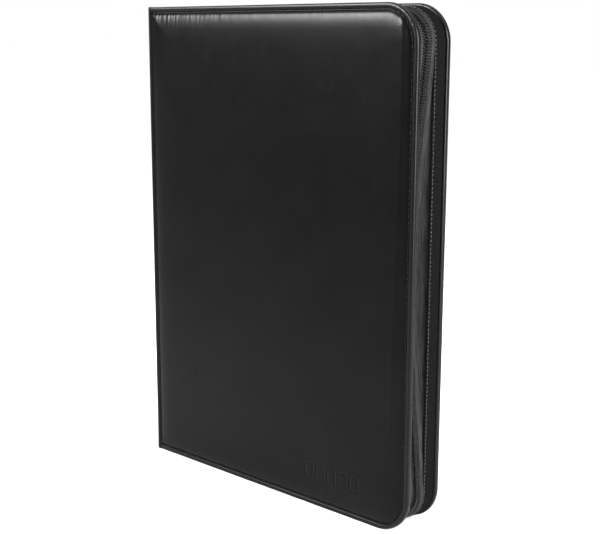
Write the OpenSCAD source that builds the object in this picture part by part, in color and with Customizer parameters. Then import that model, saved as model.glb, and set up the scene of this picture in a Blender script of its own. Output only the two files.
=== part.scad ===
// Zip-around trading card binder, closed and standing on its bottom edge.
// X runs from the spine to the fore edge, the front cover faces -Y and +Z is up.
// The origin is the middle of the base. Each cover turns about the upright line at
// the outer corner where it meets the spine, and the leaves turn at the binding.

/* [Binder] */
// Width from the spine to the fore edge
binder_w = 250; // [242:1:262]
// Height of the covers
binder_h = 346; // [338:1:360]
// Thickness over both covers
binder_t = 36; // [35:0.5:40]
// Radius of the two fore-edge corners
corner_r = 25; // [22:1:36]

/* [Covers] */
// Thickness of the leatherette skin
skin_t = 0.9; // [0.7:0.1:1]
// Thickness of the foam under the skin
foam_t = 1.5; // [1.3:0.1:1.7]
// Thickness of the greyboard
board_t = 1.8; // [1.6:0.1:2]
// Thickness of the inside lining
lining_t = 0.6; // [0.4:0.1:0.7]
// Width of the turned edge on the three free sides
rim_w = 3.6; // [3:0.1:4.2]

/* [Zip] */
// Width of one row of teeth
teeth_w = 2.4; // [2.2:0.1:2.6]
// Height of the teeth
teeth_h = 2.2; // [2:0.1:2.4]
// Thickness of the woven tape and of the gusset
tape_t = 0.8; // [0.6:0.1:0.9]
// How deep the teeth sag half way down the fore edge
sag = 13; // [10:0.5:14]
// Length of the slider
slider_l = 13; // [12:0.5:14]
// Length of the pull tab
pull_l = 21; // [18:1:22]
// Width of the pull tab
pull_w = 7; // [6:0.5:8]

/* [Leaves] */
// Height of a leaf
leaf_h = 290; // [288:1:294]
// Thickness of a leaf with its pockets
leaf_t = 0.9; // [0.7:0.1:0.9]
// Width of one pocket between its welds
pocket_w = 66; // [65:0.5:67]
// Height of one pocket between its welds
pocket_h = 91; // [90:0.5:92]

/* [Hidden] */
LEAVES = 20;
HALF = LEAVES / 2;
function leaf_name(n) = str("page_", n < 10 ? "0" : "", n);
$fn = 64;

half_t = binder_t / 2;
cover_t = skin_t + foam_t + board_t + lining_t;
inner_y = half_t - cover_t;              // inside face of a cover
spine_x = -binder_w / 2;                 // outer face of the spine
fore_x = binder_w / 2;                   // outer edge of the covers
gap = 0.3;                               // kept between bodies that move apart

// Layers of a cover, as depths below its outer face
foam_d = skin_t;
board_d = foam_d + foam_t;
lining_d = board_d + board_t;
hinge_w = 7;                             // bare skin beside the spine, where it bends
foam_inset = 5.4;                        // the foam stops short of the stitched groove
edge_play = 0.05;                        // between the turned edge and what it holds
stitch_inset = 4.4;                      // of the stitched groove
groove_w = 1.6;
groove_d = 0.5;
thread_w = 0.8;
rim_h = 4.2;                             // the turned edge is a little thinner than the cover
rim_r = 1.3;                             // its rounded corners

// Spine: its layers lie between the two covers
spine_half = inner_y - gap;
spine_in = skin_t + board_t + lining_t;
spine_trim = 2;                          // the board stops short of the skin's edges
binding_h = leaf_h - 4;
thread_r = 0.4;

// Leaves: ten turn with each cover, stepped outwards so that they lie flat when open
leaf_pitch = 2 * inner_y / (LEAVES + 0.6);
first_hinge = 6.3;                       // from the spine to the outermost leaf's hinge
leaf_fore = binder_w - sag - 9;          // from the spine to the free edge of a leaf
pocket_t = 0.2;                          // film on each side of the black sheet
weld = 2;                                // between two pockets
pocket_margin = 3;                       // from the free edge to the last pocket
function leaf_y(n) = (n - HALF - 0.5) * leaf_pitch;
function leaf_step(n) = n <= HALF ? n - 1 : LEAVES - n;
function leaf_x(n) = spine_x + first_hinge + leaf_step(n) * leaf_pitch;

// Zip wall: it follows the covers' outline at a depth called inset
seam_inset = 2.5;                        // of the seams that join it to the covers
seam_y = 2.6;                            // of the seam between gusset and back tape
lap = 2;                                 // by which the tape runs on under the gusset
corner_inset = 4.0;                      // of the teeth at the two corners
corner_y = -2.2;
top_inset = 9;                           // of the teeth along the top and the bottom
fore_y = -4.5;                           // of the teeth half way down the fore edge
teeth_gap = 0.6;                         // from the middle line to a row of teeth
knee = 2.2;                              // flat tape beside the teeth, for the slider
blend_l = 30;                            // over which the inset changes near a corner
tape_ends = [17, 15];                    // ends of the tape at top and bottom, from the spine
teeth_ends = [36, 20];                   // ends of the teeth
stop_l = 2.4;
run_steps = 8;
fore_steps = 24;
arc_steps = 10;

// Slider: two plates and a thin post, with side flanges that leave slots for the tape
slider_x = spine_x + teeth_ends[0] - gap - slider_l;
slider_z = binder_h - top_inset;
plate_t = 1.2;
plate_w = 9.2;
plate_nose = 6;                          // width of the plates at the closed end
channel = teeth_h + 2 * gap + 0.2;       // between the plates
slot = tape_t + 2 * gap;
flange_w = 1;
post_w = 0.6;
post_l = 4;
bridge_l = 6.5;
bridge_w = 2.4;
bridge_h = 2.6;
bridge_t = 0.9;
pull_t = 1.2;
pin_r = 0.6;
pin_x = slider_x + 6.5;
pin_z = slider_z + channel / 2 + plate_t + pin_r + 0.35;

black = [0.07, 0.07, 0.075];
cloth = [0.1, 0.1, 0.1];
steel = [0.25, 0.25, 0.26];

// ---- Covers ----

// Outline of a cover in X and Z, brought in by inset, and by spine_side at the spine
module cover_shape(inset, spine_side) {
    left = spine_x + spine_side;
    centre_x = fore_x - corner_r;
    translate([left, inset]) square([centre_x - left, binder_h - 2 * inset]);
    translate([left, corner_r]) square([fore_x - inset - left, binder_h - 2 * corner_r]);
    for (z = [corner_r, binder_h - corner_r])
        translate([centre_x, z]) circle(corner_r - inset);
}

// A layer of the front cover, from a depth below its outer face
module layer(depth, thickness) {
    translate([0, depth + thickness - half_t, 0]) rotate([90, 0, 0])
        linear_extrude(thickness) children();
}

// The line of the stitches, wide on each side of it
module stitch_line(width) {
    difference() {
        cover_shape(stitch_inset - width / 2, stitch_inset - width / 2);
        cover_shape(stitch_inset + width / 2, stitch_inset + width / 2);
    }
}

module skin() {
    difference() {
        layer(0, skin_t) cover_shape(rim_w, 0);
        layer(-1, groove_d + 1) stitch_line(groove_w);
    }
}

// Section of the turned edge, with X as the distance from a corner's centre
module rim_section() {
    translate([corner_r - rim_w, -rim_h / 2]) square([rim_w - rim_r, rim_h]);
    translate([corner_r - rim_w, rim_r - rim_h / 2]) square([rim_w, rim_h - 2 * rim_r]);
    for (side = [-1, 1])
        translate([corner_r - rim_r, side * (rim_h / 2 - rim_r)]) circle(rim_r);
}

module turned_edge() {
    run = binder_w - corner_r;
    rise = binder_h - 2 * corner_r;
    translate([fore_x - corner_r, cover_t / 2 - half_t, corner_r]) rotate([-90, 0, 0]) {
        rotate_extrude(angle = 90) rim_section();
        rotate([90, 0, 0]) linear_extrude(rise) rim_section();
        translate([-run, 0, 0]) rotate([0, 0, 90]) rotate([90, 0, 0])
            linear_extrude(run) rim_section();
        translate([0, -rise, 0]) rotate([0, 0, -90]) {
            rotate_extrude(angle = 90) rim_section();
            rotate([90, 0, 0]) linear_extrude(run) rim_section();
        }
    }
}

module foam() {
    layer(foam_d, foam_t) cover_shape(foam_inset, hinge_w);
}

module board() {
    layer(board_d, board_t) cover_shape(rim_w + edge_play, hinge_w);
}

module lining() {
    layer(lining_d, lining_t) cover_shape(rim_w + edge_play, hinge_w - 1);
}

module stitches() {
    layer(0, groove_d) stitch_line(thread_w);
}

module other_side() {
    mirror([0, 1, 0]) children();
}

// ---- Zip wall ----

// A point of the outline in X and Z. Part 0 is the top, 1 and 3 the corners, 2 the
// fore edge and 4 the bottom, t runs from 0 to 1 along it, and ends are its two ends
function outline(part, t, ends, inset) =
    let (r = corner_r - inset,
         cx = fore_x - corner_r,
         run = cx - spine_x - (part == 0 ? ends[0] : ends[1]),
         rise = binder_h - 2 * corner_r)
    part == 0 ? [cx - run * (1 - t), binder_h - inset] :
    part == 1 ? [cx + r * sin(90 * t), binder_h - corner_r + r * cos(90 * t)] :
    part == 2 ? [fore_x - inset, binder_h - corner_r - rise * t] :
    part == 3 ? [cx + r * cos(90 * t), corner_r - r * sin(90 * t)] :
    [cx - run * t, inset];

function ease(t) = (1 - cos(180 * min(1, t))) / 2;

// How far from a corner's place (0) to the deepest one (1) the teeth are
function drift(part, t, ends) =
    let (run = binder_w - corner_r - (part == 0 ? ends[0] : ends[1]))
    part == 0 ? ease((1 - t) * run / blend_l) :
    part == 4 ? ease(t * run / blend_l) :
    part == 2 ? pow(sin(180 * t), 1.3) : 0;
function teeth_inset(part, t, ends) =
    corner_inset + drift(part, t, ends) * ((part == 2 ? sag : top_inset) - corner_inset);
function teeth_y(part, t, ends) =
    corner_y + drift(part, t, ends) * (part == 2 ? fore_y - corner_y : 0);

stations = concat(
    [for (i = [0:run_steps - 1]) [0, 1 - pow(1 - i / run_steps, 2)]],
    [for (i = [0:arc_steps - 1]) [1, i / arc_steps]],
    [for (i = [0:fore_steps - 1]) [2, i / fore_steps]],
    [for (i = [0:arc_steps - 1]) [3, i / arc_steps]],
    [for (i = [0:run_steps]) [4, pow(i / run_steps, 2)]]);

// The two sides of a strip of cloth whose middle line runs through points [inset, y]
function side(points, thickness) =
    [for (i = [0:len(points) - 1])
        let (a = points[max(0, i - 1)],
             b = points[min(len(points) - 1, i + 1)],
             along = (b - a) / norm(b - a))
        points[i] + thickness / 2 * [-along[1], along[0]]];
function reversed(points) = [for (i = [len(points) - 1:-1:0]) points[i]];
function section(points, thickness) =
    concat(side(points, thickness), side(reversed(points), thickness));

// Sweeps a section, given by a function of part and t, round the three sides
module wall(ends, thickness, middle) {
    rings = [for (s = stations) section(middle(s[0], s[1]), thickness)];
    k = len(rings[0]);
    points = [for (j = [0:len(stations) - 1]) for (p = rings[j])
        let (q = outline(stations[j][0], stations[j][1], ends, p[0])) [q[0], p[1], q[1]]];
    last = (len(stations) - 1) * k;
    polyhedron(points, concat(
        [[for (i = [0:k - 1]) i]],
        [[for (i = [k - 1:-1:0]) last + i]],
        [for (j = [0:len(stations) - 2]) for (i = [0:k - 1]) let (n = (i + 1) % k)
            [j * k + i, (j + 1) * k + i, (j + 1) * k + n, j * k + n]]));
}

// One row of teeth, on the front (-1) or back (1) side of the middle line
module teeth(sign) {
    wall(teeth_ends, teeth_h, function (part, t)
        let (inset = teeth_inset(part, t, teeth_ends),
             y = teeth_y(part, t, teeth_ends) + sign * teeth_gap)
        [[inset, y], [inset, y + sign * teeth_w]]);
}

module stop(sign, x, z) {
    translate([x, corner_y + sign * (teeth_gap + teeth_w / 2), z])
        cube([stop_l, teeth_w, teeth_h], center = true);
}

module stops(sign) {
    stop(sign, spine_x + tape_ends[0] + stop_l, binder_h - top_inset);
    stop(sign, spine_x + tape_ends[1] + stop_l, top_inset);
}

module spine_skin() {
    color(black) translate([spine_x, -spine_half, 0])
        cube([skin_t, 2 * spine_half, binder_h]);
}

module spine_board() {
    color([0.5, 0.48, 0.44]) translate([spine_x + skin_t, spine_trim - spine_half, spine_trim])
        cube([board_t, 2 * (spine_half - spine_trim), binder_h - 2 * spine_trim]);
}

module spine_lining() {
    color(cloth) translate([spine_x + skin_t + board_t, -spine_half, spine_trim])
        cube([lining_t, 2 * spine_half, binder_h - 2 * spine_trim]);
}

// The welded roots of the leaves, with one step on each side for each leaf
module page_binding() {
    color(black) difference() {
        for (n = [1:HALF])
            translate([spine_x + spine_in, leaf_y(n) - leaf_pitch / 2, (binder_h - binding_h) / 2])
                cube([leaf_x(n) - spine_x - spine_in - leaf_t / 2 - gap,
                      leaf_pitch - 2 * leaf_y(n), binding_h]);
        binding_threads();
    }
}

// Two upright threads that hold the binding to the spine
module binding_threads() {
    for (side = [-1, 1])
        translate([spine_x + spine_in + 1.5, side * leaf_y(LEAVES - 3), (binder_h - binding_h) / 2])
            cylinder(h = binding_h, r = thread_r);
}

module binding_stitches() {
    color(cloth) binding_threads();
}

module front_skin() {
    color(black) skin();
}

module front_foam() {
    color([0.8, 0.8, 0.78]) foam();
}

module front_board() {
    color([0.5, 0.48, 0.44]) board();
}

module front_lining() {
    color(cloth) lining();
}

module front_edge() {
    color(black) turned_edge();
}

module front_stitches() {
    color(cloth) stitches();
}

module front_zip_tape() {
    color(cloth) wall(tape_ends, tape_t, function (part, t)
        let (inset = teeth_inset(part, t, tape_ends),
             y = teeth_y(part, t, tape_ends) - teeth_gap - teeth_w)
        [[inset, y], [inset, y - knee], [seam_inset, -inner_y + tape_t / 2]]);
}

module front_teeth() {
    color(black) teeth(-1);
}

module front_stops() {
    color(steel) stops(-1);
}

module back_skin() {
    color(black) other_side() skin();
}

module back_foam() {
    color([0.8, 0.8, 0.78]) other_side() foam();
}

module back_board() {
    color([0.5, 0.48, 0.44]) other_side() board();
}

module back_lining() {
    color(cloth) other_side() lining();
}

module back_edge() {
    color(black) other_side() turned_edge();
}

module back_stitches() {
    color(cloth) other_side() stitches();
}

module back_gusset() {
    color(cloth) wall(tape_ends, tape_t, function (part, t)
        [[seam_inset, seam_y], [seam_inset, inner_y]]);
}

module gusset_stitches() {
    color(black) wall(tape_ends, tape_t / 2, function (part, t)
        let (inset = seam_inset - tape_t * 0.75)
        [[inset, seam_y + lap / 2], [inset, seam_y + lap / 2 + thread_w]]);
}

module back_zip_tape() {
    color(cloth) wall(tape_ends, tape_t, function (part, t)
        let (inset = teeth_inset(part, t, tape_ends),
             y = teeth_y(part, t, tape_ends) + teeth_gap + teeth_w)
        [[inset, y], [inset, y + knee], [seam_inset + tape_t, seam_y + lap]]);
}

module back_teeth() {
    color(black) teeth(1);
}

module back_stops() {
    color(steel) stops(1);
}

// ---- Slider ----

// Outline of a plate, wide where the two tapes come in and narrow at the nose
module plate_shape() {
    shoulder = slider_l * 0.6;
    polygon([[0, -plate_nose / 2], [slider_l - shoulder, -plate_w / 2],
             [slider_l, -plate_w / 2], [slider_l, plate_w / 2],
             [slider_l - shoulder, plate_w / 2], [0, plate_nose / 2]]);
}

module zip_slider() {
    flange_h = (channel - slot) / 2;
    flange_y = plate_w / 2 - flange_w;
    color(steel) translate([slider_x, corner_y, slider_z]) {
        for (side = [-1, 1])
            mirror([0, 0, side < 0 ? 1 : 0]) {
                translate([0, 0, channel / 2]) linear_extrude(plate_t) plate_shape();
                for (y = [-plate_w / 2, flange_y])
                    translate([slider_l * 0.4, y, slot / 2])
                        cube([slider_l * 0.6, flange_w, flange_h]);
            }
        translate([0.5, -post_w / 2, -channel / 2]) cube([post_l, post_w, channel]);
        translate([slider_l / 2 - bridge_l / 2, -bridge_w / 2, channel / 2 + plate_t])
            difference() {
                cube([bridge_l, bridge_w, bridge_h]);
                translate([bridge_t, -1, -1])
                    cube([bridge_l - 2 * bridge_t, bridge_w + 2, bridge_h - bridge_t + 1]);
            }
    }
}

// The pull tab lies over the teeth; its pin passes under the slider's bridge
module zip_pull() {
    eye_l = 5;
    color(steel) translate([pin_x, corner_y, pin_z]) {
        rotate([90, 0, 0]) cylinder(h = pull_w, r = pin_r, center = true);
        difference() {
            translate([0, -pull_w / 2, -pin_r]) cube([pull_l, pull_w, pull_t]);
            translate([-1, -pull_w / 2 + 1.6, -2]) cube([eye_l + 1, pull_w - 3.2, 4]);
            translate([pull_l - 4, 0, -2]) cylinder(h = 4, r = 1.6);
        }
    }
}

// ---- Leaves ----

// A black sheet with nine side-loading pockets welded to each face
module page_leaf(n) {
    z0 = (binder_h - leaf_h) / 2;
    grid_w = 3 * pocket_w + 2 * weld;
    grid_h = 3 * pocket_h + 2 * weld;
    grid_x = spine_x + leaf_fore - pocket_margin - grid_w;
    sheet_t = leaf_t - 2 * pocket_t;
    color(cloth) {
        translate([leaf_x(n), leaf_y(n), z0]) cylinder(h = leaf_h, r = leaf_t / 2);
        translate([leaf_x(n), leaf_y(n) - sheet_t / 2, z0])
            cube([spine_x + leaf_fore - leaf_x(n), sheet_t, leaf_h]);
        for (column = [0:2], row = [0:2])
            translate([grid_x + column * (pocket_w + weld), leaf_y(n) - leaf_t / 2,
                       (binder_h - grid_h) / 2 + row * (pocket_h + weld)])
                cube([pocket_w, leaf_t, pocket_h]);
    }
}

spine_skin();
spine_board();
spine_lining();
page_binding();
binding_stitches();
front_skin();
front_foam();
front_board();
front_lining();
front_edge();
front_stitches();
front_zip_tape();
front_teeth();
front_stops();
back_skin();
back_foam();
back_board();
back_lining();
back_edge();
back_stitches();
back_gusset();
gusset_stitches();
back_zip_tape();
back_teeth();
back_stops();
zip_slider();
zip_pull();
for (n = [1:LEAVES])
    page_leaf(n);
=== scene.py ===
"""Looks of the zip-around card binder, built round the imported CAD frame.

Everything is in metres in the CAD's own frame: X from the spine to the fore edge,
the front cover at -Y, Z up. Depth is measured inwards from a cover's outer face,
and inset is measured inwards from the covers' outline. Pieces are built for the front
cover (side -1) and mirrored for the back one (side 1).
"""
import math

import bmesh
import bpy
import numpy as np
from mathutils import Matrix, Vector, noise


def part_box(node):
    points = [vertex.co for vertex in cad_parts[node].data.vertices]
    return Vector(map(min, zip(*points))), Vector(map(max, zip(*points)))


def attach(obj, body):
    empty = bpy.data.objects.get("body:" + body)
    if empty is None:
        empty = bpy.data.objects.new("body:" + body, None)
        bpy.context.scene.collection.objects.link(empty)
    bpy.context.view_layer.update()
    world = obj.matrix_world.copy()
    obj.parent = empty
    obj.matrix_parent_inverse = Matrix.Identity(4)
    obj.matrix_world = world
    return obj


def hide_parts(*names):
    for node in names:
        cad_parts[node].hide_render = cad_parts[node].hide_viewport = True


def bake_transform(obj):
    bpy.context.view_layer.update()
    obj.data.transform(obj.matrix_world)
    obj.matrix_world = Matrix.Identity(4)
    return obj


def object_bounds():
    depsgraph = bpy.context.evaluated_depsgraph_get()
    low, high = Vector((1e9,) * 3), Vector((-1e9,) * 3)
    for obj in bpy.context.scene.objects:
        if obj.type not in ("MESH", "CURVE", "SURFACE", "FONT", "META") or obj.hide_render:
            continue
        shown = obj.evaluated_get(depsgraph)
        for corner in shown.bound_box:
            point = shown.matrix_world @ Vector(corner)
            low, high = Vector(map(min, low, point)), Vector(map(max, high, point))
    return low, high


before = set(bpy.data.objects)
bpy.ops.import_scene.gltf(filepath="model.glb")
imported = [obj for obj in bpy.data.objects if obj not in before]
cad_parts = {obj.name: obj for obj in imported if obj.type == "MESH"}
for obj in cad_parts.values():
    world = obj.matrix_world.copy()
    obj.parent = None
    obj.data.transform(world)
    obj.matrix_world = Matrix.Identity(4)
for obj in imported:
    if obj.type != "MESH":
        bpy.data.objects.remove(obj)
cad_low, cad_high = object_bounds()

MM = 0.001
COVERS = {-1: "front", 1: "back"}

# ---- Sizes, from the frame where it has them ----
SPINE_X, FORE_X = cad_low.x, cad_high.x
HALF_T = cad_high.y
H = cad_high.z
W = FORE_X - SPINE_X
CORNER_R = 25 * MM
COVER_T = HALF_T - abs(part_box("front_lining")[1].y)
INNER_Y = HALF_T - COVER_T
LEAVES = sorted(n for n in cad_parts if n.startswith("page_") and n[5:].isdigit())

# Cover panel: a foam-backed pillow inside a stitched groove
PANEL_INSET = 3.1 * MM         # its edge, tucked under the turned edge
STITCH_INSET, STITCH_DEPTH = 4.4 * MM, 1.15 * MM
HINGE_SEAM = 4.4 * MM          # from the spine to the seam beside it
SKIN_T = 0.55 * MM
FOAM_DEPTH = 0.88 * MM         # of the foam's outer face
CROWN = 1.2 * MM               # how far the middle of the pillow stands proud
ROLL_DROP, ROLL_L = 1.9 * MM, 7.0 * MM     # the slow roll of its edges
EDGE_DROP, EDGE_L = 0.95 * MM, 0.7 * MM    # the steep part beside the groove
FINE, LESS_FINE = 0.5 * MM, 0.7 * MM       # spacing of its grid where it is uneven

# Turned edge on the three free sides
RIM_INSET, RIM_DEPTH = 1.9 * MM, 2.4 * MM
RIM_HALF_W, RIM_HALF_D, RIM_POWER = 1.9 * MM, 2.1 * MM, 3.2
RIM_START, RIM_STEP = 4.2 * MM, 1.1 * MM    # from the spine, and along the edge
RIM_SIDES = 20

# Zip wall, as in the CAD
SEAM_INSET, SEAM_Y = 2.5 * MM, 2.6 * MM
LAP = 2 * MM
CORNER_INSET, CORNER_Y = 4.0 * MM, -2.2 * MM
TOP_INSET = 9 * MM
SAG, FORE_Y = 13 * MM, -4.5 * MM
BLEND_L = 30 * MM
TAPE_ENDS = (17 * MM, 15 * MM)     # from the spine to the ends of the tape, top and bottom
TEETH_ENDS = (36 * MM, 20 * MM)
STRIP_STEP, CORNER_STEP = 3 * MM, 1.5 * MM
TAPE_T = 0.7 * MM
COIL_PITCH = 1.8 * MM
CHAIN_TILT = math.radians(24)  # the teeth face the front cover's side a little

# Threads: (pitch, half length, radius) of the stitches
COVER_SEAM = (4.0 * MM, 1.45 * MM, 0.30 * MM)
WALL_SEAM = (2.8 * MM, 0.95 * MM, 0.26 * MM)


# ---- Mesh helpers ----

def add_object(name, data):
    made = bpy.data.objects.new(name, data)
    bpy.context.collection.objects.link(made)
    return made


def make(name, points, faces, material, body=None, uvs=None, closed=True):
    """A smooth mesh piece whose faces look outwards, riding on a body if one is named."""
    mesh = bpy.data.meshes.new(name)
    mesh.from_pydata([tuple(p) for p in points], [], [tuple(int(i) for i in f) for f in faces])
    mesh.update()
    if uvs is not None:
        layer = mesh.uv_layers.new(name="UVMap")
        index = np.zeros(len(mesh.loops), np.int32)
        mesh.loops.foreach_get("vertex_index", index)
        layer.data.foreach_set("uv", np.asarray(uvs, np.float32)[index].ravel())
    if closed:
        shape = bmesh.new()
        shape.from_mesh(mesh)
        bmesh.ops.recalc_face_normals(shape, faces=shape.faces)
        shape.to_mesh(mesh)
        shape.free()
    mesh.shade_smooth()
    mesh.set_sharp_from_angle(angle=math.radians(66))
    mesh.materials.append(material)
    piece = add_object(name, mesh)
    if body:
        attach(piece, body)
    return piece


def grid_faces(rows, columns, wrap=False, first=0):
    """Quads between rows of points; wrap joins each row's last point to its first."""
    i, j = np.meshgrid(np.arange(rows - 1), np.arange(columns if wrap else columns - 1),
                       indexing="ij")
    n = (j + 1) % columns
    quads = np.stack([i * columns + j, i * columns + n,
                      (i + 1) * columns + n, (i + 1) * columns + j], -1)
    return (quads.reshape(-1, 4) + first).tolist()


def tube_faces(rings, sides, first=0):
    """Faces of a tube of rings of points, closed at both ends."""
    last = first + (rings - 1) * sides
    return grid_faces(rings, sides, wrap=True, first=first) + [
        [first + k for k in range(sides)], [last + k for k in range(sides)]]


def slab_faces(rows, columns, first=0):
    """Faces of a closed shape between two grids of points, one after the other."""
    count = rows * columns
    index = np.arange(count).reshape(rows, columns) + first
    rim = np.concatenate([index[0, :-1], index[:-1, -1], index[-1, :0:-1], index[:0:-1, 0]])
    return grid_faces(rows, columns, first=first) \
        + grid_faces(rows, columns, first=first + count) \
        + [(a, b, b + count, a + count) for a, b in zip(rim, np.roll(rim, -1))]


def slab(name, top, bottom, material, body=None, uvs=None):
    """A closed piece between two grids of points of the same shape."""
    points = np.concatenate([top.reshape(-1, 3), bottom.reshape(-1, 3)])
    if uvs is not None:
        uvs = np.concatenate([uvs.reshape(-1, 2)] * 2)
    return make(name, points, slab_faces(*top.shape[:2]), material, body, uvs)


def normals_of(path):
    """Unit normals of a plane polyline, on the left of its direction."""
    along = np.gradient(path, axis=0)
    along /= np.linalg.norm(along, axis=1)[:, None]
    return np.stack([-along[:, 1], along[:, 0]], 1)


def smoothstep(t):
    t = np.clip(t, 0, 1)
    return t * t * (3 - 2 * t)


def noise_at(x, z, scale, seed, octaves=2):
    """Smooth noise over a grid of points; scale is the size of its features in metres."""
    made = np.zeros(np.shape(x))
    flat = made.ravel()
    for k, (a, b) in enumerate(zip(np.ravel(x), np.ravel(z))):
        flat[k] = noise.fractal(Vector((a / scale, b / scale, seed)), 1.0, 2.0, octaves)
    return made


# ---- Materials ----

def new_material(name, colour, roughness, **sockets):
    """A Principled material; sockets are its other inputs that are the same all over."""
    material = bpy.data.materials.new(name)
    material.use_nodes = True
    shader = material.node_tree.nodes["Principled BSDF"]
    shader.inputs["Base Color"].default_value = (*colour, 1)
    shader.inputs["Roughness"].default_value = roughness
    for socket, value in sockets.items():
        shader.inputs[socket.replace("_", " ")].default_value = value
    return material


def add_node(material, kind, **inputs):
    node = material.node_tree.nodes.new(kind)
    for socket, value in inputs.items():
        node.inputs[socket.replace("_", " ")].default_value = value
    return node


def join(material, out, into):
    material.node_tree.links.new(out, into)


def coordinates(material, which="Object", stretch=None):
    """Texture coordinates, scaled by stretch on each axis if it is given."""
    out = add_node(material, "ShaderNodeTexCoord").outputs[which]
    if stretch:
        mapping = add_node(material, "ShaderNodeMapping", Scale=stretch)
        join(material, out, mapping.inputs["Vector"])
        out = mapping.outputs["Vector"]
    return out


def noise_texture(material, size, detail=3.0, coords=None):
    texture = add_node(material, "ShaderNodeTexNoise", Scale=1 / size, Detail=detail)
    join(material, coords or coordinates(material), texture.inputs["Vector"])
    return texture.outputs["Fac"]


def ribs(material, period, axis, coords):
    """Waves with that period in metres along one axis of the coordinates."""
    texture = add_node(material, "ShaderNodeTexWave", Scale=2 * math.pi / (20 * period),
                       Distortion=0.3, Detail=1.0)
    texture.bands_direction = axis
    join(material, coords, texture.inputs["Vector"])
    return texture.outputs["Fac"]


def colour_ramp(material, value, low, high, start=0.3, end=0.7):
    ramp = add_node(material, "ShaderNodeValToRGB")
    ramp.color_ramp.elements[0].position = start
    ramp.color_ramp.elements[1].position = end
    ramp.color_ramp.elements[0].color = (*low, 1)
    ramp.color_ramp.elements[1].color = (*high, 1)
    join(material, value, ramp.inputs["Fac"])
    join(material, ramp.outputs["Color"], shader_of(material).inputs["Base Color"])


def shader_of(material):
    return material.node_tree.nodes["Principled BSDF"]


def vary_roughness(material, value, low, high):
    mapped = add_node(material, "ShaderNodeMapRange", To_Min=low, To_Max=high)
    join(material, value, mapped.inputs["Value"])
    join(material, mapped.outputs["Result"], shader_of(material).inputs["Roughness"])


def bumps(material, *layers):
    """Bump from (height, depth in metres, strength) layers, one on the other."""
    normal = None
    for height, distance, strength in layers:
        bump = add_node(material, "ShaderNodeBump", Distance=distance, Strength=strength)
        join(material, height, bump.inputs["Height"])
        if normal:
            join(material, normal, bump.inputs["Normal"])
        normal = bump.outputs["Normal"]
    join(material, normal, shader_of(material).inputs["Normal"])


def leatherette(name, low, high, rough, specular):
    """Smooth black coated leatherette, with a fine grain and faint uneven polish."""
    material = new_material(name, high, rough[0], Specular_IOR_Level=specular)
    cloudy = noise_texture(material, 28 * MM, 4.0)
    colour_ramp(material, cloudy, low, high)
    vary_roughness(material, noise_texture(material, 9 * MM, 5.0), *rough)
    bumps(material, (noise_texture(material, 5 * MM, 1.0), 0.10 * MM, 0.20),
          (noise_texture(material, 0.9 * MM, 1.0), 0.05 * MM, 0.15),
          (noise_texture(material, 0.3 * MM, 1.0), 0.02 * MM, 0.12))
    return material


def woven(name, low, high, length_period, cross_period, depth, streak):
    """Cloth with ribs along and across a swept piece, whose UVs are in metres. Its streaks
    of colour are longer along it where streak is smaller."""
    material = new_material(name, high, 0.85, Specular_IOR_Level=0.02)
    uv = coordinates(material, "UV")
    streaks = coordinates(material, "UV", (streak, 1.0, 1.0))
    colour_ramp(material, noise_texture(material, 0.7 * MM, 3.0, streaks), low, high)
    bumps(material, (ribs(material, length_period, "X", uv), depth, 0.7),
          (ribs(material, cross_period, "Y", uv), depth, 0.7),
          (noise_texture(material, 0.4 * MM), 0.06 * MM, 0.4))
    return material


def metal(name, low, high, rough):
    """Dark plated zinc with fine scratches and wear."""
    material = new_material(name, high, rough[0], Metallic=1.0)
    scratches = coordinates(material, "Object", (0.12, 1.0, 1.0))
    colour_ramp(material, noise_texture(material, 1.8 * MM, 4.0), low, high)
    vary_roughness(material, noise_texture(material, 0.5 * MM, 4.0, scratches), *rough)
    bumps(material, (noise_texture(material, 0.35 * MM, 3.0, scratches), 0.012 * MM, 0.3))
    return material


def plain_stuff(name, low, high, size, rough, depth, **sockets):
    """A plain material with mottled colour and a fine bump of that grain size."""
    material = new_material(name, high, rough[0], **sockets)
    grain = noise_texture(material, size, 4.0)
    colour_ramp(material, grain, low, high)
    vary_roughness(material, noise_texture(material, size * 6, 3.0), *rough)
    bumps(material, (grain, depth, 0.4))
    return material


PANEL = leatherette("panel_leatherette", (0.0010,) * 3, (0.0020,) * 3, (0.22, 0.30), 0.075)
EDGE = leatherette("edge_leatherette", (0.0010,) * 3, (0.0020,) * 3, (0.26, 0.34), 0.13)
TAPE = woven("zip_tape_weave", (0.008,) * 3, (0.032,) * 3, 0.9 * MM, 0.75 * MM, 0.10 * MM,
             0.04)
GUSSET = woven("gusset_grosgrain", (0.0004,) * 3, (0.0055,) * 3, 1.6 * MM, 1.2 * MM, 0.28 * MM,
               0.7)
LINING = plain_stuff("lining_cloth", (0.010,) * 3, (0.017,) * 3, 0.6 * MM, (0.75, 0.9),
                     0.12 * MM, Specular_IOR_Level=0.2)
THREAD = plain_stuff("thread", (0.006,) * 3, (0.012,) * 3, 0.2 * MM, (0.6, 0.75), 0.05 * MM,
                     Specular_IOR_Level=0.2)
SEAM_THREAD = plain_stuff("seam_thread", (0.030,) * 3, (0.050,) * 3, 0.2 * MM, (0.6, 0.75),
                          0.05 * MM, Specular_IOR_Level=0.2)
TEETH = plain_stuff("zip_teeth", (0.003,) * 3, (0.006,) * 3, 0.8 * MM, (0.34, 0.46), 0.02 * MM,
                    Specular_IOR_Level=0.10)
METAL = metal("zip_metal", (0.045,) * 3, (0.075,) * 3, (0.22, 0.38))
BOARD = plain_stuff("greyboard", (0.19, 0.18, 0.16), (0.27, 0.26, 0.23), 1.2 * MM,
                    (0.85, 0.95), 0.08 * MM)
FOAM = plain_stuff("foam", (0.55, 0.55, 0.52), (0.66, 0.66, 0.63), 0.5 * MM, (0.9, 1.0),
                   0.2 * MM)
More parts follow.
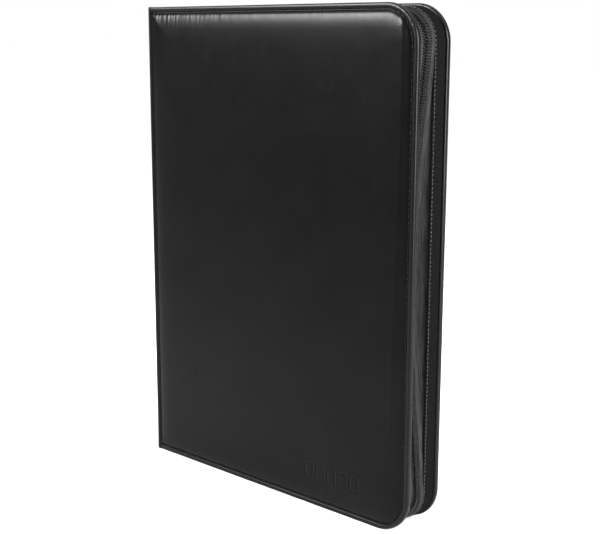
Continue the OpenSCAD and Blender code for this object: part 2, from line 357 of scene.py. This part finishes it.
PAGE = plain_stuff("page_sheet", (0.012,) * 3, (0.018,) * 3, 0.5 * MM, (0.42, 0.55),
                   0.03 * MM)
BINDING = plain_stuff("page_binding", (0.010,) * 3, (0.016,) * 3, 0.8 * MM, (0.5, 0.65),
                      0.06 * MM)
FILM = plain_stuff("pocket_film", (0.90, 0.91, 0.92), (0.96, 0.97, 0.97), 9 * MM,
                   (0.05, 0.12), 0.02 * MM, Transmission_Weight=1.0, IOR=1.35)


# ---- The covers' outline ----

def outline_point(part, t, inset, ends):
    """A point (x, z) of the three free sides. Part 0 is the top, 1 and 3 the corners,
    2 the fore edge and 4 the bottom."""
    r, cx = CORNER_R - inset, FORE_X - CORNER_R
    run = cx - SPINE_X - (ends[0] if part == 0 else ends[1])
    if part == 0:
        return cx - run * (1 - t), H - inset
    if part == 2:
        return FORE_X - inset, H - CORNER_R - (H - 2 * CORNER_R) * t
    if part == 4:
        return cx - run * t, inset
    a = math.radians(90 * t)
    if part == 1:
        return cx + r * math.sin(a), H - CORNER_R + r * math.cos(a)
    return cx + r * math.cos(a), CORNER_R - r * math.sin(a)


def stations(ends, step):
    """(part, t, length so far) at places about step apart round the three sides."""
    run = [W - CORNER_R - e for e in ends]
    arc = math.pi / 2 * CORNER_R
    lengths = [run[0], arc, H - 2 * CORNER_R, arc, run[1]]
    made, so_far = [], 0.0
    for part, length in enumerate(lengths):
        count = max(2, round(length / (step if part % 2 == 0 else min(step, CORNER_STEP))))
        for i in range(count):
            made.append((part, i / count, so_far + length * i / count))
        so_far += length
    return made + [(4, 1.0, so_far)]


def drift(part, t, ends):
    """How far the teeth are from their place at a corner (0) to the deepest one (1)."""
    run = W - CORNER_R - (ends[0] if part == 0 else ends[1])
    if part == 2:
        return math.sin(math.pi * t) ** 1.3
    if part in (1, 3):
        return 0.0
    away = (1 - t if part == 0 else t) * run / BLEND_L
    return (1 - math.cos(math.pi * min(1, away))) / 2


def chain_tilt(part, t, ends):
    """The chain lies level where the slider is and tilts towards the corners."""
    if part in (1, 2, 3):
        return CHAIN_TILT
    return CHAIN_TILT * (1 - drift(part, t, ends))


def on_chain(part, t, ends, across, deep):
    """(inset, y) of a point beside the middle of the teeth, in their tilted frame."""
    inset, y = teeth_place(part, t, ends)
    tilt = chain_tilt(part, t, ends)
    c, s = math.cos(tilt), math.sin(tilt)
    return inset - across * s + deep * c, y + across * c + deep * s


def teeth_place(part, t, ends):
    """The inset and the y of the middle of the teeth."""
    d = drift(part, t, ends)
    deep = SAG if part == 2 else TOP_INSET
    y = CORNER_Y + (d * (FORE_Y - CORNER_Y) if part == 2 else 0)
    return CORNER_INSET + d * (deep - CORNER_INSET), y


def sweep(name, material, body, ends, step, section):
    """Sweeps a closed section round the three sides. section(part, t, s) gives its points
    as (inset, y); the piece's UVs are metres along the path and round the section."""
    points, uvs, count = [], [], 0
    for part, t, s in stations(ends, step):
        ring = section(part, t, s)
        count = len(ring)
        around = 0.0
        for k, (inset, y) in enumerate(ring):
            around += math.dist(ring[k], ring[k - 1]) if k else 0
            x, z = outline_point(part, t, inset, ends)
            points.append((x, y, z))
            uvs.append((s, around))
    return make(name, points, tube_faces(len(points) // count, count), material, body, uvs)


def ribbon(corners, ripple):
    """The closed section of a strip of cloth whose middle runs by corners (inset, y) and
    bellies out by ripple."""
    points = resampled(corners, 12)
    normal = normals_of(points)
    middle = np.sin(np.linspace(0, math.pi, len(points)))
    points = points + normal * (ripple * middle)[:, None]
    half = np.full(len(points), TAPE_T / 2)
    half[0] = half[-1] = TAPE_T / 4
    upper = points + normal * half[:, None]
    lower = points - normal * half[:, None]
    return [tuple(p) for p in np.concatenate([upper, lower[::-1]])]


def resampled(corners, count, soften=0.25):
    """Points evenly spaced along a polyline whose inner corners are cut into curves."""
    corners = np.array(corners, float)
    path = [corners[0]]
    for before, corner, after in zip(corners, corners[1:], corners[2:]):
        a, b = corner + (before - corner) * soften, corner + (after - corner) * soften
        for u in np.linspace(0, 1, 5):
            path.append((1 - u) ** 2 * a + 2 * u * (1 - u) * corner + u * u * b)
    path.append(corners[-1])
    path = np.array(path)
    lengths = np.concatenate([[0], np.cumsum(np.linalg.norm(np.diff(path, axis=0), axis=1))])
    at = np.linspace(0, lengths[-1], count)
    return np.stack([np.interp(at, lengths, path[:, k]) for k in range(2)], 1)


# ---- Cover panels ----

def edge_distance(x, z):
    """The inset of points on a cover from its outline, spine side included."""
    dx, dz = FORE_X - x, np.minimum(z, H - z)
    in_corner = (dx < CORNER_R) & (dz < CORNER_R)
    round_one = CORNER_R - np.hypot(CORNER_R - dx, CORNER_R - dz)
    free = np.where(in_corner, round_one, np.minimum(dx, dz))
    return np.minimum(free, x - SPINE_X + STITCH_INSET - HINGE_SEAM)


# Debossed emblem: its middle, its cards and the line that draws them
MARK_X, MARK_Z, MARK_HALF_H = 60 * MM, 26 * MM, 7 * MM
MARK_CARDS, MARK_STEP = 5, 10.2 * MM
MARK_CARD_W, MARK_CARD_H, MARK_CARD_R = 7.0 * MM, 9.8 * MM, 1.2 * MM
MARK_LINE, MARK_SLOPE, MARK_DEPTH = 0.30 * MM, 0.40 * MM, 0.38 * MM


def mark_depth(x, z):
    """A plain debossed emblem: the outlines of cards in a row."""
    depth = np.zeros(np.shape(x))
    for k in range(MARK_CARDS):
        middle = MARK_X + (k - (MARK_CARDS - 1) / 2) * MARK_STEP
        qx = np.abs(x - middle) - MARK_CARD_W / 2 + MARK_CARD_R
        qz = np.abs(z - MARK_Z) - MARK_CARD_H / 2 + MARK_CARD_R
        away = np.hypot(np.maximum(qx, 0), np.maximum(qz, 0)) \
            + np.minimum(np.maximum(qx, qz), 0) - MARK_CARD_R
        line = smoothstep(1 - (np.abs(away) - MARK_LINE) / MARK_SLOPE)
        depth = np.maximum(depth, MARK_DEPTH * line)
    return depth


def fading(distance, start, length):
    """0 before start, rising smoothly to 1 at a length after it."""
    return smoothstep((distance - start) / length)


def gathers(x, z, out, side):
    """Creases square to the seam, deepest at the spine's end of the top."""
    reach, begin, stretch = 4.5 * MM, 1.2 * MM, 0.12
    least, more, at_sides = 0.064 * MM, 0.128 * MM, 0.10 * MM
    top, fore = H - z, FORE_X - x
    along = noise_at(x, z * stretch, 3.2 * MM, 11.0 + side)
    across = noise_at(x * stretch, z, 3.6 * MM, 17.0 + side)
    height = least + more * np.exp(-top / (30 * MM)) * fading(fore, 60 * MM, 120 * MM)
    on_top = np.minimum(top, z) < np.minimum(fore, x - SPINE_X)
    return np.exp(-out / reach) * fading(out, 0, begin) \
        * np.where(on_top, along * height, across * at_sides)


def pleats_and_hem(x, z, out, side):
    """Fine pleats under the top seam by the spine and over the bottom seam by the fore
    edge, and the uneven hem above the bottom seam."""
    top_height, bottom_height, hem_height = 0.22 * MM, 0.30 * MM, 0.16 * MM
    hem_z, hem_reach = 8 * MM, 4 * MM
    fore = FORE_X - x
    pleats = noise_at(x, z * 0.08, 1.2 * MM, 41.0 + side, 1) * fading(out, 0, 0.8 * MM)
    top_share = fading(fore, 150 * MM, 50 * MM) * np.exp(-(H - z) / (14 * MM))
    bottom_share = (1 - fading(fore, 40 * MM, 50 * MM)) * np.exp(-z / (9 * MM))
    hem = np.exp(-np.abs(z - hem_z) / hem_reach) * (1 + bottom_share)
    return pleats * (top_height * top_share + bottom_height * bottom_share) \
        + hem * hem_height * noise_at(x, z, 5 * MM, 23.0 + side)


def fore_ridge(x, z):
    """The faint ridge of the foam's edge, which wanders along the fore edge."""
    inset = 13 * MM + 1.5 * MM * np.sin(z / (60 * MM))
    ridge = np.exp(-((FORE_X - x - inset) / (1.9 * MM)) ** 2)
    return 0.24 * MM * ridge * fading(z, 40 * MM, 60 * MM)


def panel_depth(x, z, side):
    """Depth of the leather below the cover's outer face; it is below 0 where it is proud."""
    s = edge_distance(x, z) - STITCH_INSET
    out = np.maximum(s, 0)
    depth = EDGE_DROP * np.exp(-out / EDGE_L) + ROLL_DROP * np.exp(-out / ROLL_L) - CROWN
    tucked = 0.25 * MM * np.minimum(-s / MM, 1.4) ** 2
    hollows = 0.22 * MM * noise_at(x, z, 75 * MM, 31.0 + side) * fading(out, 0, 20 * MM)
    return np.where(s < 0, depth - tucked, depth) + gathers(x, z, out, side) \
        + pleats_and_hem(x, z, out, side) - fore_ridge(x, z) + hollows


def grid_lines(length, low_dense, high_dense, step, zones=()):
    """Positions from 0 to length, fine near both ends, less fine in the (start, end) zones
    and about step apart elsewhere."""
    low = np.arange(0, low_dense, FINE)
    high = length - np.arange(0, high_dense, FINE)[::-1]
    middle = np.linspace(low_dense, length - high_dense,
                         max(2, round((length - low_dense - high_dense) / step)), endpoint=False)
    lines = np.concatenate([low, middle, high])
    for start, end in zones:
        outside = (lines < start) | (lines > end)
        lines = np.concatenate([lines[outside], np.arange(start, end, LESS_FINE)])
    return np.unique(np.round(lines, 7))


def cover_panel(side):
    """The padded leather panel of one cover, inside the turned edge."""
    left = SPINE_X + HINGE_SEAM - 0.4 * MM
    width, height = FORE_X - PANEL_INSET - left, H - 2 * PANEL_INSET
    by_spine, by_edge, pleated = 9 * MM, 13 * MM, 92 * MM
    marked = side < 0
    mark_low, mark_z = MARK_X - MARK_CARDS / 2 * MARK_STEP - left, MARK_Z - PANEL_INSET
    gx = grid_lines(width, by_spine, by_edge, 2.2 * MM,
                    ((by_spine, pleated), (mark_low, width - by_edge)))
    gz = grid_lines(height, by_edge, by_edge, 4.2 * MM,
                    ((mark_z - MARK_HALF_H, mark_z + MARK_HALF_H),) if marked else ())
    x, z = np.meshgrid(left + gx, PANEL_INSET + gz, indexing="ij")
    # the square grid is drawn in to the rounded corners by the fore edge
    r = CORNER_R - PANEL_INSET
    a = (x - (FORE_X - CORNER_R)) / r
    for sign, centre in ((-1, CORNER_R), (1, H - CORNER_R)):
        b = sign * (z - centre) / r
        here = (a > 0) & (b > 0)
        ca, cb = np.where(here, a, 0), np.where(here, b, 0)
        x = np.where(here, FORE_X - CORNER_R + r * ca * np.sqrt(1 - cb ** 2 / 2), x)
        z = np.where(here, centre + sign * r * cb * np.sqrt(1 - ca ** 2 / 2), z)
    depth = panel_depth(x, z, side)
    if marked:
        depth += mark_depth(x, z)
    under = np.maximum(depth + SKIN_T, FOAM_DEPTH)
    top = np.stack([x, side * (HALF_T - depth), z], -1)
    bottom = np.stack([x, side * (HALF_T - under), z], -1)
    body, name = f"{COVERS[side]}_cover", COVERS[side]
    panel = slab(f"{name}_panel", top, bottom, PANEL, body, np.stack([x, z], -1))
    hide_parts(f"{name}_skin")


def turned_edge(side):
    """The leather turned over the cover's edge, as a soft rounded bead. It is creased at
    its corners and along the half of the bottom beside one."""
    angles = np.linspace(0, 2 * math.pi, RIM_SIDES, endpoint=False)
    power = 2 / RIM_POWER
    wave_length, crease_length = 1 / 160, 1 / 420

    def section(part, t, s):
        creased = {1: 1.0, 3: 1.0, 4: smoothstep(1.3 - 2 * t)}.get(part, 0.15)
        swell = 1 + 0.035 * noise.noise(Vector((s / wave_length, 2.0, side))) \
            + 0.10 * creased * noise.noise(Vector((s / crease_length, 7.0, side)))
        ring = []
        for a in angles:
            c, d = math.cos(a), math.sin(a)
            inset = RIM_INSET - RIM_HALF_W * math.copysign(abs(c) ** power, c)
            depth = RIM_DEPTH - RIM_HALF_D * swell * math.copysign(abs(d) ** power, d)
            ring.append((inset, side * (HALF_T - depth)))
        return ring

    name = COVERS[side]
    rim = sweep(f"{name}_turned_edge", EDGE, f"{name}_cover", (RIM_START, RIM_START), RIM_STEP,
                section)
    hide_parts(f"{name}_edge")


# ---- Stitches ----

# A stitch from end to end: (share of its half length, share of its radius)
STITCH = ((-1.0, 0.25), (-0.82, 0.8), (-0.4, 1.0), (0.4, 1.0), (0.82, 0.8), (1.0, 0.25))


def stitches(name, places, half, radius, material, body):
    """Short rounded stitches; each place starts with its middle and direction."""
    sides = 6
    points, faces = [], []
    for middle, direction, *_ in places:
        middle, direction = Vector(middle), Vector(direction).normalized()
        side = direction.cross(Vector((0, 1, 0))).normalized()
        up = side.cross(direction)
        first = len(points)
        for along, wide in STITCH:
            for k in range(sides):
                a = 2 * math.pi * k / sides
                points.append(middle + direction * half * along
                              + (side * math.cos(a) + up * math.sin(a)) * radius * wide)
        faces += tube_faces(len(STITCH), sides, first)
    return make(name, points, faces, material, body)


def path_places(ends, pitch, place, tilt=lambda part, t: 0.0):
    """(middle, direction, tilt) at even steps along a path round the three sides, where
    place(part, t) gives its (inset, y)."""
    nearby = 0.3 * MM
    line = []
    for part, t, _ in stations(ends, 1 * MM):
        inset, y = place(part, t)
        x, z = outline_point(part, t, inset, ends)
        line.append((x, y, z, tilt(part, t)))
    line = np.array(line)
    steps = np.linalg.norm(np.diff(line[:, :3], axis=0), axis=1)
    lengths = np.concatenate([[0], np.cumsum(steps)])
    at = np.arange(pitch / 2, lengths[-1], pitch)
    here, ahead, behind = (
        np.stack([np.interp(at + shift, lengths, line[:, k]) for k in range(4)], 1)
        for shift in (0, nearby, -nearby))
    return [(p[:3], d[:3], p[3]) for p, d in zip(here, ahead - behind)]


def cover_stitches(side):
    """The thread of a cover's seam: round its three sides and up beside the spine."""
    name, (pitch, half, radius) = COVERS[side], COVER_SEAM
    y = side * (HALF_T - STITCH_DEPTH)
    ends = (HINGE_SEAM + 1 * MM,) * 2
    places = path_places(ends, pitch, lambda part, t: (STITCH_INSET, y))
    seam_x = SPINE_X + HINGE_SEAM + 0.1 * MM
    rise = np.arange(STITCH_INSET + 2 * MM, H - STITCH_INSET - MM, pitch)
    places += [((seam_x, y, z), (0, 0, 1)) for z in rise]
    thread = stitches(f"{name}_thread", places, half, radius, THREAD, f"{name}_cover")
    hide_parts(f"{name}_stitches")


# ---- Zip wall ----

# Half the tape's section, out from the teeth: (across, towards the inside) in mm
TAPE_STEPS = ((0.4, 0.9), (2.4, 0.9), (3.4, 0.1), (5.0, 0.1))


def zip_tape(side):
    """One half of the zip's tape, from under its teeth out to the seam."""
    name = COVERS[side]

    def section(part, t, s):
        seam = (SEAM_INSET, -INNER_Y + 0.5 * MM) if side < 0 \
            else (SEAM_INSET + 0.9 * MM, SEAM_Y + LAP)
        flat = [on_chain(part, t, TAPE_ENDS, side * across * MM, deep * MM)
                for across, deep in TAPE_STEPS]
        wave = 0.25 * MM * noise.noise(Vector((s * 45, 3.1, side)))
        return ribbon(flat + [seam], wave)

    tape = sweep(f"{name}_tape", TAPE, f"{name}_cover", TAPE_ENDS, STRIP_STEP, section)
    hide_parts(f"{name}_zip_tape")
    return tape


def gusset():
    """The ribbed strip between the back cover and the zip, with the thread of its seam."""
    middle_inset, end_inset = SEAM_INSET - 0.6 * MM, SEAM_INSET - 0.9 * MM

    def section(part, t, s):
        wave = 0.2 * MM * noise.noise(Vector((s * 55, 8.3, 0.5)))
        return ribbon([(SEAM_INSET, SEAM_Y), (middle_inset, (SEAM_Y + INNER_Y) / 2),
                       (end_inset, INNER_Y + 0.2 * MM)], wave)

    strip = sweep("gusset", GUSSET, "back_cover", TAPE_ENDS, STRIP_STEP, section)
    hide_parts("back_gusset")
    pitch, half, radius = WALL_SEAM
    places = path_places(TAPE_ENDS, pitch, lambda part, t: (middle_inset, SEAM_Y + 1.2 * MM))
    thread = stitches("gusset_thread", places, half, radius, SEAM_THREAD, "back_cover")
    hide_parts("gusset_stitches")
    return strip


# A tooth from the tape to its head: (distance across, half width, half height) in mm
TOOTH = ((-3.1, 0.28, 0.50), (-2.9, 0.40, 0.85), (-1.2, 0.40, 1.00), (-0.3, 0.38, 1.05),
         (0.2, 0.52, 1.20), (0.75, 0.52, 1.10), (0.95, 0.24, 0.50))
POST_ROOM = 0.33               # share of its length that makes way for the slider's post


def zip_teeth(side):
    """A row of interlocking teeth; each row is half a pitch from the other."""
    sides, points, faces = 8, [], []
    places = path_places(TEETH_ENDS, COIL_PITCH,
                         lambda part, t: teeth_place(part, t, TEETH_ENDS),
                         lambda part, t: chain_tilt(part, t, TEETH_ENDS))
    for middle, along, tilt in places:
        along = Vector(along).normalized()
        middle = Vector(middle) + along * (COIL_PITCH * 0.25 * side)
        across = Matrix.Rotation(tilt, 3, along) @ Vector((0, -side, 0))
        out = along.cross(across).normalized()
        across = out.cross(along).normalized()
        first = len(points)
        # a tooth is shorter where the slider's post passes between the rows
        room = 1 - POST_ROOM * (1 - tilt / CHAIN_TILT) * (middle.z > H / 2)
        for reach, wide, high in TOOTH:
            reach = TOOTH[0][0] + (reach - TOOTH[0][0]) * room
            for k in range(sides):
                a = 2 * math.pi * (k + 0.5) / sides
                points.append(middle + across * reach * MM
                              + along * (math.cos(a) * wide * MM)
                              + out * (math.sin(a) * high * MM))
        faces += tube_faces(len(TOOTH), sides, first)
    name = COVERS[side]
    row = make(f"{name}_coil", points, faces, TEETH, f"{name}_cover")
    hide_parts(f"{name}_teeth")


# ---- Spine ----

def spine_wrap(side):
    """The leather from the middle of the spine round its corner to the cover's seam.
    It is built in distances from the corner line that the cover turns about."""
    corner_r, turned, turn_depth, leather = 2.2 * MM, 3.3 * MM, 3.2 * MM, 0.8 * MM
    end_r = 0.7 * MM
    path = [(0, r) for r in np.linspace(HALF_T, corner_r, 14)]
    for a in np.linspace(0, math.pi / 2, 8)[1:]:
        path.append((corner_r * (1 - math.cos(a)), corner_r * (1 - math.sin(a))))
    path += [(3.0 * MM, 0.02 * MM), (3.5 * MM, 0.18 * MM), (3.9 * MM, 0.5 * MM),
             (4.2 * MM, 1.0 * MM), (4.45 * MM, 1.5 * MM)]
    path = np.array(path)
    inwards = normals_of(path)
    ends = np.array([0, 0.2, 0.5, 0.9, 1.4, 2.2, 3.1, 3.5]) * MM
    heights = np.concatenate([ends, np.linspace(8 * MM, H - 8 * MM, 42), H - ends[::-1]])
    outer, inner, uvs = [], [], []
    for z in heights:
        from_end = min(z, H - z)
        rounded = end_r * (1 - math.sqrt(max(0, 1 - (1 - min(1, from_end / MM)) ** 2)))
        thick = turn_depth if from_end < turned else leather
        row_out, row_in, row_uv = [], [], []
        for k, p in enumerate(path):
            wave = 0.05 * MM * noise.noise(Vector((z * 30, k * 0.25, side + 4.0)))
            q = p + inwards[k] * (rounded + max(0, wave))
            row_out.append((SPINE_X + q[0], side * (HALF_T - q[1]), z))
            deep = [max(v, thick - rounded / 2 + 0.15 * v) for v in p]
            row_in.append((SPINE_X + deep[0], side * (HALF_T - min(deep[1], HALF_T)), z))
            row_uv.append((k * MM, z))
        outer.append(row_out)
        inner.append(row_in)
        uvs.append(row_uv)
    name = COVERS[side]
    wrap = slab(f"spine_wrap_{name}", np.array(outer), np.array(inner), EDGE,
                uvs=np.array(uvs))
    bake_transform(wrap)
    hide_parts("spine_skin")


def hinge_lining(side):
    """The lining that bends between the spine's and the cover's."""
    corners = np.array([(3.1, 5.3), (3.0, 3.6), (3.6, 2.4), (4.8, 2.9), (6.6, 4.5)]) * MM
    path = resampled(corners, 18, 0.4)
    across = normals_of(path) * 0.2 * MM
    heights = np.linspace(4 * MM, H - 4 * MM, 40)
    grids = []
    for shift in (-across, across):
        p = path + shift
        grids.append(np.array([[(SPINE_X + x, side * (HALF_T - y), z) for x, y in p]
                               for z in heights]))
    name = COVERS[side]
    strip = slab(f"hinge_lining_{name}", grids[0], grids[1], LINING)
    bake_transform(strip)


# ---- Slider, pull and stops ----

def refined(node, name, material, body, bevel):
    """A CAD node's shape with its flat faces whole and its edges rounded."""
    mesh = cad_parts[node].data.copy()
    mesh.name = name
    mesh.materials.clear()
    shape = bmesh.new()
    shape.from_mesh(mesh)
    bmesh.ops.remove_doubles(shape, verts=shape.verts, dist=1e-6)
    bmesh.ops.dissolve_limit(shape, angle_limit=math.radians(2), verts=shape.verts,
                             edges=shape.edges)
    sharp = [e for e in shape.edges if len(e.link_faces) == 2
             and e.calc_face_angle() > math.radians(40)]
    bmesh.ops.bevel(shape, geom=sharp, offset=bevel, segments=2, profile=0.6,
                    affect="EDGES", clamp_overlap=True)
    bmesh.ops.recalc_face_normals(shape, faces=shape.faces)
    shape.to_mesh(mesh)
    shape.free()
    mesh.shade_smooth()
    mesh.set_sharp_from_angle(angle=math.radians(40))
    mesh.materials.append(material)
    piece = add_object(name, mesh)
    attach(piece, body)
    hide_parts(node)


# ---- Leaves ----

POCKET_W, POCKET_H, WELD, PAGE_MARGIN = 66 * MM, 91 * MM, 2 * MM, 3 * MM
SHEET_T, POCKET_T, POCKET_EDGE_T = 0.5 * MM, 0.18 * MM, 0.03 * MM
PAGE_CORNER = 4 * MM


def leaf_sheet(node, body):
    """The black sheet of a leaf with rounded free corners and a bead at its hinge."""
    low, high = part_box(node)
    y, bead = (low.y + high.y) / 2, (high.y - low.y) / 2
    left, right = low.x + bead, high.x
    edge = [(left, low.z), (left, high.z)]
    for centre_z, start in ((high.z - PAGE_CORNER, 90), (low.z + PAGE_CORNER, 0)):
        for step in range(7):
            a = math.radians(start - 15 * step)
            edge.append((right - PAGE_CORNER + PAGE_CORNER * math.cos(a),
                         centre_z + PAGE_CORNER * math.sin(a)))
    count = len(edge)
    points = [(x, y + s * SHEET_T / 2, z) for s in (-1, 1) for x, z in edge]
    faces = [list(range(count)), list(range(count, 2 * count))]
    faces += [(k, (k + 1) % count, (k + 1) % count + count, k + count) for k in range(count)]
    first = len(points)
    sides = 10
    for z in (low.z, high.z):
        for k in range(sides):
            a = 2 * math.pi * k / sides
            points.append((left + bead * math.cos(a), y + bead * math.sin(a), z))
    faces += tube_faces(2, sides, first)
    sheet = make(f"{node}_sheet", points, faces, PAGE, body)
    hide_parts(node)


def pocket_mesh():
    """Nine clear pockets on each face of a leaf whose middle lies at y 0. Each is open
    on its spine side, where the film stands a little away from the sheet."""
    low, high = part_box(LEAVES[0])
    grid_x = high.x - PAGE_MARGIN - 3 * POCKET_W - 2 * WELD
    grid_z = (low.z + high.z) / 2 - 1.5 * POCKET_H - WELD
    n = 6
    u, v = np.meshgrid(np.linspace(0, 1, n), np.linspace(0, 1, n), indexing="ij")
    swell = np.minimum(np.sin(math.pi * (0.5 + u / 2)) ** 0.5 * (u < 1), 1)
    height = POCKET_EDGE_T + (POCKET_T - POCKET_EDGE_T) * swell * np.sin(math.pi * v) ** 0.4
    points, faces = [], []
    for column in range(3):
        for row in range(3):
            x = grid_x + column * (POCKET_W + WELD) + u * POCKET_W
            z = grid_z + row * (POCKET_H + WELD) + v * POCKET_H
            for face in (-1, 1):
                first = len(points)
                for lift in (height, np.zeros((n, n))):
                    y = face * (SHEET_T / 2 + 0.01 * MM + lift)
                    points += np.stack([x, y, z], -1).reshape(-1, 3).tolist()
                faces += slab_faces(n, n, first)
    return points, faces


def leaves():
    """Each leaf's sheet and its pockets, which are one mesh shared by all leaves."""
    points, faces = pocket_mesh()
    shared = None
    for node in LEAVES:
        body = node.replace("page_", "leaf_")
        leaf_sheet(node, body)
        low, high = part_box(node)
        if shared is None:
            film = make(f"{node}_pockets", points, faces, FILM)
            shared = film.data
        else:
            film = add_object(f"{node}_pockets", shared)
        film.location.y = (low.y + high.y) / 2
        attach(film, body)


def repaint(node, material):
    """Gives a CAD node that stays in view its finish."""
    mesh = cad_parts[node].data
    mesh.materials.clear()
    mesh.materials.append(material)


# ---- Build ----


def declare_strip(piece):
    """Works out the length of the path round the three sides that the zip wall's strips follow,
    and does nothing more with it; the strip it is given is not used."""
    length = stations(TAPE_ENDS, STRIP_STEP)[-1][2]


for side in COVERS:
    cover_panel(side)
    turned_edge(side)
    cover_stitches(side)
    spine_wrap(side)
    hinge_lining(side)
    name = COVERS[side]
    declare_strip(zip_tape(side))
    zip_teeth(side)
    refined(f"{name}_stops", f"{name}_end_stops", METAL, f"{name}_cover",
            0.25 * MM)
    for part, material in (("foam", FOAM), ("board", BOARD), ("lining", LINING)):
        repaint(f"{name}_{part}", material)
declare_strip(gusset())
refined("zip_slider", "slider_body", METAL, "slider", 0.28 * MM)
refined("zip_pull", "pull_tab", METAL, "pull", 0.22 * MM)
leaves()
for node, material in (("spine_board", BOARD), ("spine_lining", LINING),
                       ("page_binding", BINDING), ("binding_stitches", THREAD)):
    repaint(node, material)

# ---- Camera, at the angle of a low three-quarter view ----
CAMERA_AT = Vector((0.5401, -0.5794, 0.3257))
YAW, PITCH, ROLL = 0.7378, -0.2022, 0.0028
SENSOR_W, LENS = 36, 67.8
camera = add_object("camera", bpy.data.cameras.new("camera"))
ahead = Vector((-math.sin(YAW) * math.cos(PITCH), math.cos(YAW) * math.cos(PITCH),
                math.sin(PITCH)))
right = ahead.cross(Vector((0, 0, 1))).normalized()
up = right.cross(ahead)
rolled_right = right * math.cos(ROLL) + up * math.sin(ROLL)
rolled_up = up * math.cos(ROLL) - right * math.sin(ROLL)
turn = Matrix((rolled_right, rolled_up, -ahead)).transposed().to_4x4()
camera.matrix_world = Matrix.Translation(CAMERA_AT) @ turn
camera.data.sensor_width, camera.data.lens = SENSOR_W, LENS
camera.data.clip_start, camera.data.clip_end = 0.02, 60
bpy.context.scene.camera = camera

# ---- Floor, lights and surroundings ----
floor = make("floor", [(-9, -9, 0), (9, -9, 0), (9, 9, 0), (-9, 9, 0)], [(0, 1, 2, 3)],
             plain_stuff("floor_paper", (0.86,) * 3, (0.88,) * 3, 0.2, (0.7, 0.8), 0.02 * MM,
                         Specular_IOR_Level=0.1), closed=False)


def soft_light(name, at, towards, width, height, power, spread):
    """A soft box; its spread in degrees keeps its light together."""
    lamp = add_object(name, bpy.data.lights.new(name, "AREA"))
    lamp.data.shape = "RECTANGLE"
    lamp.data.size, lamp.data.size_y, lamp.data.energy = width, height, power
    lamp.data.spread = math.radians(spread)
    lamp.location = at
    lamp.rotation_euler = (Vector(towards) - Vector(at)).to_track_quat("-Z", "Y").to_euler()


MIDDLE, ABOVE = (0, 0, H / 2), (0, 0, 1.25 * H)
soft_light("low_front", (-1.1, -1.5, 1.00), ABOVE, 1.7, 0.6, 10.0, 32)
soft_light("high_front", (-0.9, -1.2, 2.0), MIDDLE, 1.6, 1.0, 1.5, 40)
soft_light("right_strip", (1.5, 0.10, 0.50), MIDDLE, 0.9, 1.3, 19, 60)
soft_light("front_right", (1.5, -1.3, 0.9), MIDDLE, 0.7, 0.7, 1.0, 60)
soft_light("back_left", (-1.9, 1.0, 0.6), MIDDLE, 1.4, 0.8, 3.0, 50)

# An even sky, so that the whole floor is as bright as its surroundings
sky = add_object("sky", bpy.data.lights.new("sky", "SUN"))
sky.data.angle, sky.data.energy = math.radians(110), 2.8

# White where the camera sees it, dimmer and slightly cool as light
world = bpy.data.worlds.new("studio")
bpy.context.scene.world = world
world.use_nodes = True
nodes, links = world.node_tree.nodes, world.node_tree.links
seen, lighting = nodes["Background"], nodes.new("ShaderNodeBackground")
seen.inputs["Color"].default_value = (1, 1, 1, 1)
lighting.inputs["Color"].default_value = (0.97, 0.98, 1.0, 1)
lighting.inputs["Strength"].default_value = 0.35
path, mix = nodes.new("ShaderNodeLightPath"), nodes.new("ShaderNodeMixShader")
links.new(path.outputs["Is Camera Ray"], mix.inputs["Fac"])
links.new(lighting.outputs["Background"], mix.inputs[1])
links.new(seen.outputs["Background"], mix.inputs[2])
links.new(mix.outputs["Shader"], nodes["World Output"].inputs["Surface"])
bpy.context.scene.view_settings.view_transform = "Standard"
